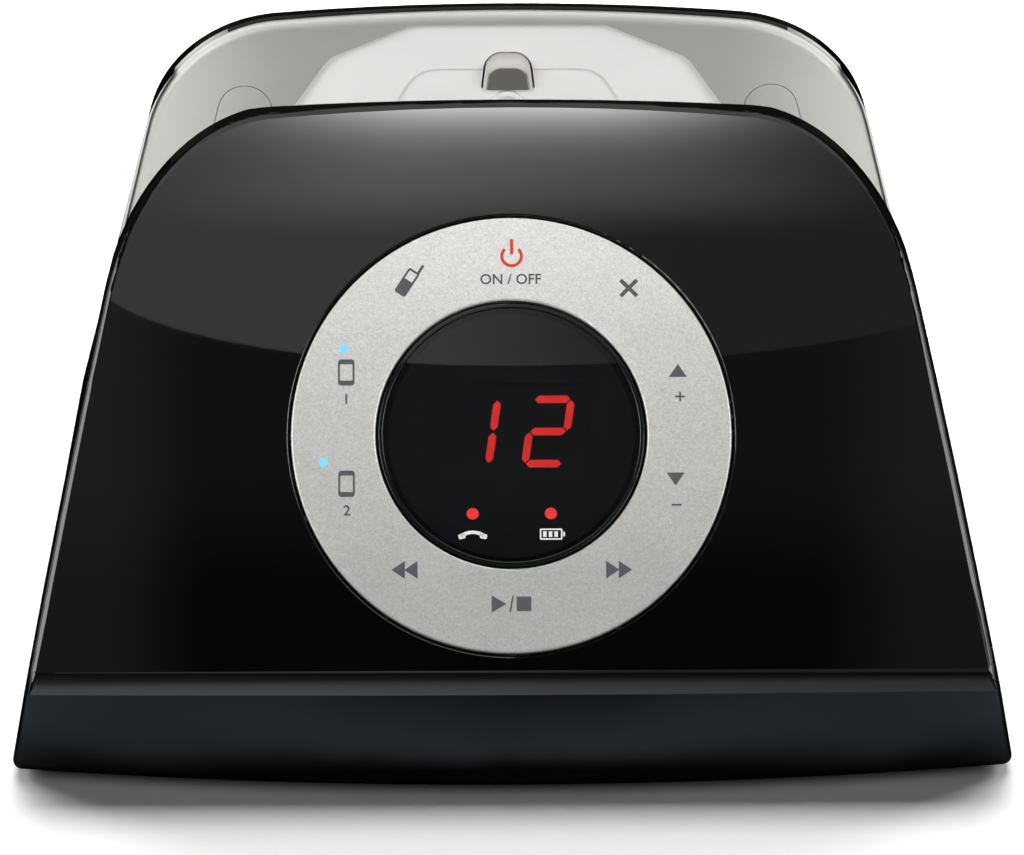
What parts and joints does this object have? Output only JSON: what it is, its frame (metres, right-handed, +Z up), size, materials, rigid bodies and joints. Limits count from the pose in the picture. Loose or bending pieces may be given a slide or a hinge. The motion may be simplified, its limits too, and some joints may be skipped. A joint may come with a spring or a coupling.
{
  "type": "answering machine",
  "caption": "Answering machine and phone base: wedge body with a round rocking key ring around a counter window, and a cradle for an upright handset.",
  "frame": {"origin": "on the table, under the middle of the body's width and depth", "axes": "+X to the user's right, +Y to the back, +Z up; the key panel faces -Y and up"},
  "size_m": [0.151, 0.1146, 0.0824],
  "materials": {
    "shell_black": "polished black",
    "base_black": "fine texture",
    "liner_silver": "satin silver lacquer",
    "ring_silver": "fine metallic silver lacquer",
    "pocket_grey": "satin light grey",
    "tab_grey": "satin dark grey",
    "window_smoke": "smoked clear",
    "display_black": "black face",
    "segment_red": "lit red",
    "segment_dark": "unlit",
    "lamp_red": "lit red",
    "lamp_blue": "lit blue",
    "clear_guide": "clear",
    "rubber_grey": "moulded",
    "rubber_black": "matt",
    "board_green": "green resist on glass fibre",
    "board_black_plastic": "moulded",
    "chip_black": "moulded",
    "can_aluminium": "bare top",
    "shield_tin": "tinned",
    "contact_gold": "gold flash",
    "contact_nickel": "nickel plate",
    "screw_steel": "zinc plate",
    "basket_steel": "stamped",
    "cone_paper": "pressed paper",
    "magnet_ferrite": "ferrite",
    "ribbon_white": "flat cable",
    "lead_red": "insulated lead",
    "lead_black": "insulated lead"
  },
  "bodies": {
    "housing": {"antenna": "board_green", "base_plate": "base_black", "base_screws": "screw_steel", "capacitors": "can_aluminium", "cell_lamps": "lamp_blue", "charge_leads": "lead_black", "contact_block": "board_black_plastic", "cradle_liner": "liner_silver", "cradle_pocket": "pocket_grey", "dark_segments": "segment_dark", "display_module": "display_black", "display_window": "window_smoke", "front_shell": "shell_black", "handset_tab": "tab_grey", "key_board": "board_green", "key_board_screws": "screw_steel", "key_mat": "rubber_grey", "left_contact_spring": "screw_steel", "line_contacts": "contact_gold", "line_jack": "board_black_plastic", "line_transformer": "chip_black", "lit_segments": "segment_red", "main_board": "board_green", "main_board_screws": "screw_steel", "message_lamps": "lamp_red", "power_jack": "board_black_plastic", "processor_chips": "chip_black", "radio_board": "board_green", "radio_shield": "shield_tin", "rear_shell": "shell_black", "ribbon_cable": "ribbon_white", "right_contact_spring": "screw_steel", "rubber_feet": "rubber_black", "side_caps": "liner_silver", "speaker_cone": "cone_paper", "speaker_frame": "basket_steel", "speaker_leads": "lead_red", "speaker_magnet": "magnet_ferrite", "window_bezel": "shell_black"},
    "ring_carrier": {"key_ring_carrier": "board_black_plastic"},
    "ring": {"key_ring": "ring_silver", "light_guides": "clear_guide"},
    "left_contact": {"left_charge_contact": "contact_nickel"},
    "right_contact": {"right_charge_contact": "contact_nickel"}
  },
  "joints": [
    {"name": "ring_rock_up_down", "type": "hinge", "parent": "housing", "child": "ring_carrier", "pos_m": [0, -0.02386, 0.04208], "axis": [1, 0, 0], "range_deg": [-0.9, 0.9], "stiffness_Nm_per_rad": 3.4, "deforming": ["key_mat"]},
    {"name": "ring_rock_left_right", "type": "hinge", "parent": "ring_carrier", "child": "ring", "pos_m": [0, -0.02386, 0.04208], "axis": [0, 0.6691, 0.7431], "range_deg": [-0.9, 0.9], "stiffness_Nm_per_rad": 3.4, "deforming": ["key_mat"]},
    {"name": "left_contact_slide", "type": "slide", "parent": "housing", "child": "left_contact", "axis": [0, 0, -1], "range_m": [0, 0.002], "stiffness_N_per_m": 400, "springref_m": -0.0015, "deforming": ["left_contact_spring"]},
    {"name": "right_contact_slide", "type": "slide", "parent": "housing", "child": "right_contact", "axis": [0, 0, -1], "range_m": [0, 0.002], "stiffness_N_per_m": 400, "springref_m": -0.0015, "deforming": ["right_contact_spring"]}
  ]
}
